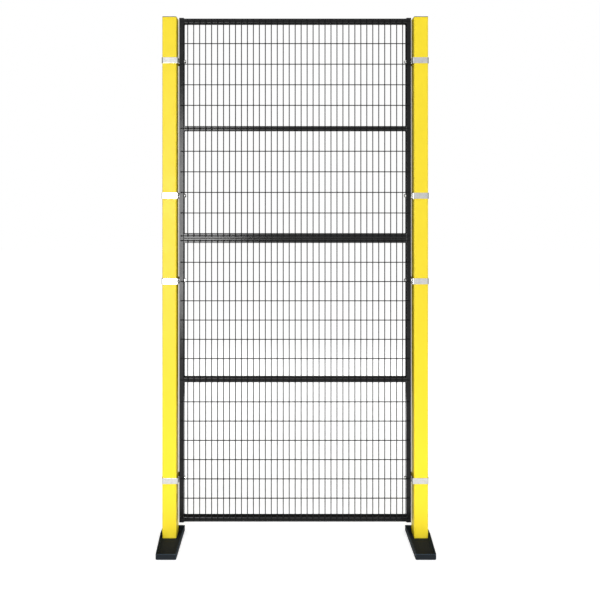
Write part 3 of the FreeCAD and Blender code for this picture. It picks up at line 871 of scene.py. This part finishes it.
class FenceMesh(bpy.types.PropertyGroup):
    """Pitches and shape of the wires"""
    upright_pitch: bpy.props.FloatProperty(
        name="Upright pitch", description="Between neighbouring upright wires",
        default=0.0252, min=0.005, unit="LENGTH")
    cross_pitch: bpy.props.FloatProperty(
        name="Crosswire pitch", description="Nominal, rounded to whole spaces between two rails",
        default=0.086, min=0.01, unit="LENGTH")
    bow: bpy.props.FloatProperty(
        name="Bow", description="How far a wire strays sideways between its ends",
        default=0.00025, min=0.0, max=0.001, unit="LENGTH")
    sides: bpy.props.IntProperty(
        name="Sides", description="Faces around each wire", default=12, min=6, max=24)


class FenceWelds(bpy.types.PropertyGroup):
    """Sizes of the nuggets, tacks and beads"""
    spot: bpy.props.FloatVectorProperty(
        name="Spot size", description="Half lengths of a weld nugget where two wires cross",
        size=3, subtype="XYZ", unit="LENGTH", default=(0.0025, 0.0013, 0.0025))
    tack: bpy.props.FloatVectorProperty(
        name="Tack size", description="Half lengths of a tack between crosswire and frame",
        size=3, subtype="XYZ", unit="LENGTH", default=(0.0042, 0.0013, 0.0028))
    tack_every: bpy.props.IntProperty(
        name="Uprights per tack", description="Tacks along a rail are this many uprights apart",
        default=4, min=1)
    bead: bpy.props.FloatProperty(
        name="Bead radius", description="Of the weld round each rail end",
        default=0.0014, min=0.0005, max=0.003, unit="LENGTH")


class FenceClamps(bpy.types.PropertyGroup):
    """Sizes of the straps, bolts, nuts and washers"""
    strap_sheet: bpy.props.FloatProperty(
        name="Strap thickness", description="Of the zinc-plated strip", default=0.002,
        unit="LENGTH")
    lap: bpy.props.FloatProperty(
        name="Lap past bolt", description="From the bolt to the tip of each lapped end",
        default=0.011, unit="LENGTH")
    lap_gap: bpy.props.FloatProperty(
        name="Lap gap", description="Between the two lapped ends", default=0.0002, unit="LENGTH")
    lap_bend: bpy.props.FloatProperty(
        name="Lap bend", description="Inner bend radius of the lapped ends", default=0.002,
        unit="LENGTH")
    post_bend: bpy.props.FloatProperty(
        name="Post bend", description="Inner bend radius round the post", default=0.0051,
        unit="LENGTH")
    tip_round: bpy.props.FloatProperty(
        name="Tip round", description="Corner radius of each strap tip", default=0.004,
        unit="LENGTH")
    bolt: bpy.props.FloatProperty(
        name="Bolt", description="Thread diameter", default=0.008, unit="LENGTH")
    bolt_length: bpy.props.FloatProperty(
        name="Bolt length", description="From the tip to the top of the head",
        default=0.0353, unit="LENGTH")
    thread_pitch: bpy.props.FloatProperty(
        name="Thread pitch", description="Between neighbouring thread ridges",
        default=0.00125, min=0.0005, unit="LENGTH")
    across_flats: bpy.props.FloatProperty(
        name="Across flats", description="Of bolt head and nut", default=0.013, unit="LENGTH")
    head_height: bpy.props.FloatProperty(
        name="Head height", description="Of the hex bolt", default=0.0053, unit="LENGTH")
    nut_height: bpy.props.FloatProperty(
        name="Nut height", description="Of the thin nut by the post", default=0.004, unit="LENGTH")
    washer_hole: bpy.props.FloatProperty(
        name="Washer hole", description="Diameter", default=0.0084, unit="LENGTH")
    washer_outside: bpy.props.FloatProperty(
        name="Washer outside", description="Diameter", default=0.016, unit="LENGTH")
    washer_sheet: bpy.props.FloatProperty(
        name="Washer thickness", description="Of the stamped washer", default=0.0016,
        unit="LENGTH")


class FenceStage(bpy.types.PropertyGroup):
    """Camera, room light and window"""
    camera_place: bpy.props.FloatVectorProperty(
        name="Camera place", description="Level camera in front of the fence", size=3,
        subtype="XYZ", unit="LENGTH", default=(-0.046, -2.6365, 1.448))
    lens: bpy.props.FloatProperty(
        name="Lens", description="Focal length in millimetres on a 36 mm sensor", default=38.22)
    shift: bpy.props.FloatVectorProperty(
        name="Shift", description="Lens shift that frames the fence", size=2,
        default=(0.0262, -0.175))
    sky: bpy.props.FloatProperty(
        name="Room light", description="Light from all round", default=0.24, min=0.0)
    window: bpy.props.FloatProperty(
        name="Window", description="Brightness of the window seen in the glossy coats",
        default=15.0, min=0.0)


# Operators
class GUARD_FENCE_OT_coat_posts(bpy.types.Operator):
    """Yellow coat on the posts, plastic caps and the steel plates inside their feet"""
    bl_idname = "guard_fence.coat_posts"
    bl_label = "Coat Posts"

    def execute(self, context):
        for side in SIDES:
            coat_node(f"{side}_post", "post_paint")
            coat_node(f"{side}_post_cap", "black_plastic")
            coat_node(f"{side}_post_base", "bare_steel")
        return {"FINISHED"}


class GUARD_FENCE_OT_coat_feet(bpy.types.Operator):
    """Black coat on the tray feet and zinc on the screws under them"""
    bl_idname = "guard_fence.coat_feet"
    bl_label = "Coat Feet"

    def execute(self, context):
        for side in SIDES:
            coat_node(f"{side}_foot", "foot_paint")
        coat_node("foot_screws", "fastener_zinc")
        return {"FINISHED"}


class GUARD_FENCE_OT_coat_frames(bpy.types.Operator):
    """Glossy black coat on the panel frames, and plastic plugs in their open ends"""
    bl_idname = "guard_fence.coat_frames"
    bl_label = "Coat Frames"

    def execute(self, context):
        for panel in PANELS:
            for side in SIDES:
                coat_node(f"{panel}_{side}_stile", "frame_paint")
                coat_node(f"{panel}_{side}_stile_plug", "black_plastic")
            for rail in RAILS:
                coat_node(f"{panel}_{rail}_rail", "rail_paint")
        return {"FINISHED"}


class GUARD_FENCE_OT_build_mesh(bpy.types.Operator):
    """Round, slightly bowed wires in place of the plain rods of both panels"""
    bl_idname = "guard_fence.build_mesh"
    bl_label = "Build Mesh"

    def execute(self, context):
        mesh = context.scene.fence_mesh
        tree = row_of_wires_tree(rows_tree())
        for panel in PANELS:
            for row, layout in (("upright_wires", upright_layout), ("cross_wires", cross_layout)):
                values = dict(layout(panel, mesh), Bow=mesh.bow, Sides=mesh.sides,
                              Material=finish("wire_coat"))
                piece = bake_piece(f"{panel}_mesh_{row}", tree, values)
                settle(piece, "wire_coat", f"{panel}_{row}")
        return {"FINISHED"}


class GUARD_FENCE_OT_build_welds(bpy.types.Operator):
    """Weld nuggets at the crossings, tacks on the frames and beads round the rail ends"""
    bl_idname = "guard_fence.build_welds"
    bl_label = "Build Welds"

    def execute(self, context):
        tree = weld_spots_tree(rows_tree())
        for number, panel in enumerate(PANELS):
            for name, slot, seed, layout in self.weld_grids(context.scene, panel):
                values = dict(layout, Seed=seed + number, Material=finish(slot))
                settle(bake_piece(f"{panel}_{name}", tree, values), slot)
        self.add_beads(context.scene.fence_welds)
        return {"FINISHED"}

    def weld_grids(self, scene, panel):
        """A panel's grids of welds, each with its name, finish, seed and layout."""
        welds = scene.fence_welds
        uprights = upright_layout(panel, scene.fence_mesh)
        crosswires = cross_layout(panel, scene.fence_mesh)
        up, cross = uprights["First Wire"], crosswires["First Wire"]
        rows = {name: crosswires[name]
                for name in ("Rail Step", "Rails", "Rows between Rails", "Half Rail")}
        spaces = uprights["Rows between Rails"] + 1
        at_crossings = dict(rows, **{
            "First Spot": Vector((up[0], (up[1] + cross[1]) / 2, cross[2])),
            "Last Column": uprights["Rail Step"], "Columns between Ends": spaces - 1,
            "Spot Size": welds.spot, "Uneven": 0.16})
        # How far the middle of a tack lies before the frame's face, in half depths
        proud = 0.45
        tack_y = FRAME_FRONT - welds.tack[1] * proud
        stile_x = centre(f"{panel}_left_stile")[0]
        on_stiles = dict(rows, **{
            "First Spot": Vector((stile_x, tack_y, cross[2])),
            "Last Column": Vector((-2 * stile_x, 0.0, 0.0)), "Columns between Ends": 0,
            "Spot Size": welds.tack, "Uneven": 0.2})
        tacks = spaces // welds.tack_every
        on_rails = dict(rows, **{
            "Rows between Rails": 0,
            "First Spot": Vector((up[0], tack_y, cross[2])),
            "Last Column": uprights["Rail Step"] * (tacks * welds.tack_every / spaces),
            "Columns between Ends": tacks - 1, "Spot Size": welds.tack, "Uneven": 0.2})
        return (("crossing_welds", "wire_coat", 11, at_crossings),
                ("stile_tacks", "frame_paint", 31, on_stiles),
                ("rail_tacks", "frame_paint", 51, on_rails))

    def add_beads(self, welds):
        """A bead round both ends of every rail, nearly flush on the front and back."""
        from_end, from_front, from_top = 0.0003, 0.001, 0.0002
        tree = weld_bead_tree()
        for panel in PANELS:
            points = []
            edges = []
            for rail in RAILS:
                low, high = corners(f"{panel}_{rail}_rail")
                front, back = low[1] + from_front, high[1] - from_front
                bottom, top = low[2] + from_top, high[2] - from_top
                for x in (low[0] + from_end, high[0] - from_end):
                    start = len(points)
                    points += [(x, front, bottom), (x, back, bottom), (x, back, top),
                               (x, front, top)]
                    edges += [(start + k, start + (k + 1) % 4) for k in range(4)]
            loops = bpy.data.meshes.new(f"{panel}_bead_loops")
            loops.from_pydata(points, edges, [])
            beads = bake_piece(f"{panel}_rail_end_welds", tree, {
                "Bead Radius": welds.bead, "Ripple Pitch": 0.0018, "Ripple": 0.10,
                "Uneven": 0.25, "Material": finish("frame_paint"),
            }, loops)
            settle(beads, "frame_paint")


class GUARD_FENCE_OT_build_clamps(bpy.types.Operator):
    """Bent zinc straps with their bolts, washers and nuts, at all eight clamps"""
    bl_idname = "guard_fence.build_clamps"
    bl_label = "Build Clamps"

    def execute(self, context):
        clamps = context.scene.fence_clamps
        tree = at_every_clamp_tree()
        places = {"Post Face": Vector((POST_FACE_X, POST_Y, 0.0))}
        straps = []
        for panel in PANELS:
            bottom = centre(f"{panel}_left_bottom_strap")[2]
            top = centre(f"{panel}_left_top_strap")[2]
            places[f"{panel.title()} Height"] = bottom
            places[f"{panel.title()} Span"] = top - bottom
            for place in ("bottom", "top"):
                straps += [f"{panel}_{side}_{place}_strap" for side in SIDES]
        # Each fastener is turned at random about its bolt, and a strap isn't
        shapes = (
            ("straps", strap_mesh, "strap_zinc", 0.0, straps),
            ("hex_bolts", bolt_mesh, "fastener_zinc", math.pi, ["clamp_bolts"]),
            ("thin_nuts", nut_mesh, "fastener_zinc", math.pi, ["clamp_nuts"]),
            ("washers", washer_mesh, "fastener_zinc", math.pi, ["clamp_washers"]),
        )
        for name, shape, slot, turn, replaced in shapes:
            values = dict(places, Turn=turn, Seed=7, Material=finish(slot))
            piece = bake_piece(name, tree, values, shape(clamps))
            settle(piece, slot, *replaced)
        return {"FINISHED"}


class GUARD_FENCE_OT_set_stage(bpy.types.Operator):
    """Pale floor, soft lights, a dark cloth for reflections, and the camera before the fence"""
    bl_idname = "guard_fence.set_stage"
    bl_label = "Set Stage"

    def execute(self, context):
        stage = context.scene.fence_stage
        context.scene.view_settings.view_transform = "Standard"
        self.light_room(context.scene, stage)
        self.lay_floor()
        self.hang_lights(stage)
        self.hang_dark_cloth()
        self.place_camera(context.scene, stage)
        return {"FINISHED"}

    def light_room(self, scene, stage):
        """World that lights softly, and shows white to the camera and in reflections."""
        world = bpy.data.worlds.new("white_room")
        scene.world = world
        world.use_nodes = True
        tree = world.node_tree
        tree.nodes.clear()
        strength = node(tree, "ShaderNodeMapRange", {
            "Value": seen_or_mirrored(tree), "To Min": stage.sky, "To Max": 1.0})
        light = node(tree, "ShaderNodeBackground", {
            "Color": (1.0, 1.0, 1.0, 1.0), "Strength": strength.outputs[0]})
        node(tree, "ShaderNodeOutputWorld", {0: light.outputs[0]})

    def lay_floor(self):
        """Large pale floor that shows white where nothing shades it."""
        reach = 14.0
        mesh = bpy.data.meshes.new("floor")
        mesh.from_pydata([(-reach, -reach, 0), (reach, -reach, 0), (reach, reach, 0),
                          (-reach, reach, 0)], [], [(0, 1, 2, 3)])
        floor = add_object("floor", mesh)
        shader = paint_matt(mesh, "pale_floor", tone=0.9, roughness=0.9)
        tree = shader.id_data
        place = node(tree, "ShaderNodeTexCoord").outputs["Object"]
        away = node(tree, "ShaderNodeVectorMath", {0: place}, operation="LENGTH").outputs["Value"]
        glow = node(tree, "ShaderNodeMapRange", {
            "Value": away, "From Min": 0.7, "From Max": 4.0, "To Min": 0.58, "To Max": 0.80})
        glow = maths(tree, "MULTIPLY", seen_or_mirrored(tree), glow.outputs[0])
        shader.inputs["Emission Color"].default_value = (1.0, 1.0, 1.0, 1.0)
        tree.links.new(glow, shader.inputs["Emission Strength"])

    def hang_lights(self, stage):
        """Window that only reflections show, front lights that none show, and two weak fills."""
        to_back, down, to_front = 90.0, 0.0, -90.0
        # Each has a name, a place, a width and height, a turn about X and a radiance
        boxes = (
            ("window", (-1.25, -2.80, 1.20), (1.50, 1.70), to_back, stage.window),
            ("front", (0.0, -5.0, 1.75), (5.0, 2.8), to_back, 3.1),
            ("low_front", (0.0, -3.0, 0.80), (4.4, 0.5), to_back, 1.7),
            ("by_feet", (0.0, -0.60, 0.20), (2.0, 0.08), to_back, 5.4),
            ("overhead", (0.0, -0.6, 4.2), (3.4, 2.6), down, 1.3),
            ("back_fill", (0.6, 3.6, 2.2), (3.0, 2.2), to_front, 1.9),
        )
        for name, place, (width, height), turn, radiance in boxes:
            light = bpy.data.lights.new(name, "AREA")
            light.shape = "RECTANGLE"
            light.size, light.size_y = width, height
            light.energy = radiance * math.pi * width * height
            lamp = add_object(name, light)
            lamp.location = place
            lamp.rotation_euler = (math.radians(turn), 0.0, 0.0)
            lamp.visible_camera = False
            lamp.visible_diffuse = name != "window"
            lamp.visible_glossy = name not in ("front", "low_front", "by_feet")

    def hang_dark_cloth(self):
        """Dark cloth behind and beside the fence, seen only in its glossy coats and metal."""
        half_width, back, wing_end, height = 4, 1.9, -1.6, 5
        bends = ((-half_width, wing_end), (-half_width, back),
                 (half_width, back), (half_width, wing_end))
        count = len(bends)
        mesh = bpy.data.meshes.new("dark_cloth")
        mesh.from_pydata([(x, y, z) for z in (0, height) for x, y in bends], [],
                         [(k, k + 1, k + 1 + count, k + count) for k in range(count - 1)])
        cloth = add_object("dark_cloth", mesh)
        cloth.visible_camera = False
        cloth.visible_diffuse = False
        cloth.visible_transmission = False
        cloth.visible_shadow = False
        paint_matt(mesh, "dark_cloth", tone=0.02, roughness=1.0)

    def place_camera(self, scene, stage):
        """Level camera in front of the fence, shifted to frame it."""
        camera = add_object("camera", bpy.data.cameras.new("camera"))
        camera.location = stage.camera_place
        camera.rotation_euler = (math.radians(90), 0.0, 0.0)
        camera.data.sensor_width = 36.0
        camera.data.lens = stage.lens
        camera.data.shift_x, camera.data.shift_y = stage.shift
        scene.camera = camera


# Sidebar
class GUARD_FENCE_PT_sidebar(bpy.types.Panel):
    """Lists the fence's settings and the steps that finish it"""
    bl_label = "Guard Fence"
    bl_idname = "GUARD_FENCE_PT_sidebar"
    bl_space_type = "VIEW_3D"
    bl_region_type = "UI"
    bl_category = "Guard Fence"

    def draw(self, context):
        for title, group, steps in PANEL_ROWS:
            settings = getattr(context.scene, group)
            box = self.layout.box()
            box.label(text=title)
            for name in settings.bl_rna.properties.keys():
                if name not in ("rna_type", "name"):
                    box.prop(settings, name)
            for step in steps:
                box.operator(step.bl_idname)


PANEL_ROWS = (
    ("Finishes", "fence_finishes", (
        GUARD_FENCE_OT_coat_posts, GUARD_FENCE_OT_coat_feet, GUARD_FENCE_OT_coat_frames)),
    ("Mesh", "fence_mesh", (GUARD_FENCE_OT_build_mesh,)),
    ("Welds", "fence_welds", (GUARD_FENCE_OT_build_welds,)),
    ("Clamps", "fence_clamps", (GUARD_FENCE_OT_build_clamps,)),
    ("Stage", "fence_stage", (GUARD_FENCE_OT_set_stage,)),
)
GROUPS = {
    "fence_finishes": FenceFinishes,
    "fence_mesh": FenceMesh,
    "fence_welds": FenceWelds,
    "fence_clamps": FenceClamps,
    "fence_stage": FenceStage,
}
STEPS = [step for title, group, steps in PANEL_ROWS for step in steps]


# Registering and running
def register():
    """Makes the fence's settings, steps and sidebar known to Blender."""
    for name, group in GROUPS.items():
        bpy.utils.register_class(group)
        setattr(bpy.types.Scene, name, bpy.props.PointerProperty(type=group))
    for kind in STEPS + [GUARD_FENCE_PT_sidebar]:
        bpy.utils.register_class(kind)


def unregister():
    """Takes the settings, steps and sidebar away again."""
    for kind in [GUARD_FENCE_PT_sidebar] + STEPS[::-1]:
        bpy.utils.unregister_class(kind)
    for name, group in GROUPS.items():
        delattr(bpy.types.Scene, name)
        bpy.utils.unregister_class(group)


def main():
    """Finishes the fence step by step."""
    register()
    bpy.ops.guard_fence.coat_posts()
    bpy.ops.guard_fence.coat_feet()
    bpy.ops.guard_fence.coat_frames()
    bpy.ops.guard_fence.build_mesh()
    bpy.ops.guard_fence.build_welds()
    bpy.ops.guard_fence.build_clamps()
    bpy.ops.guard_fence.set_stage()


if __name__ == "__main__":
    main()
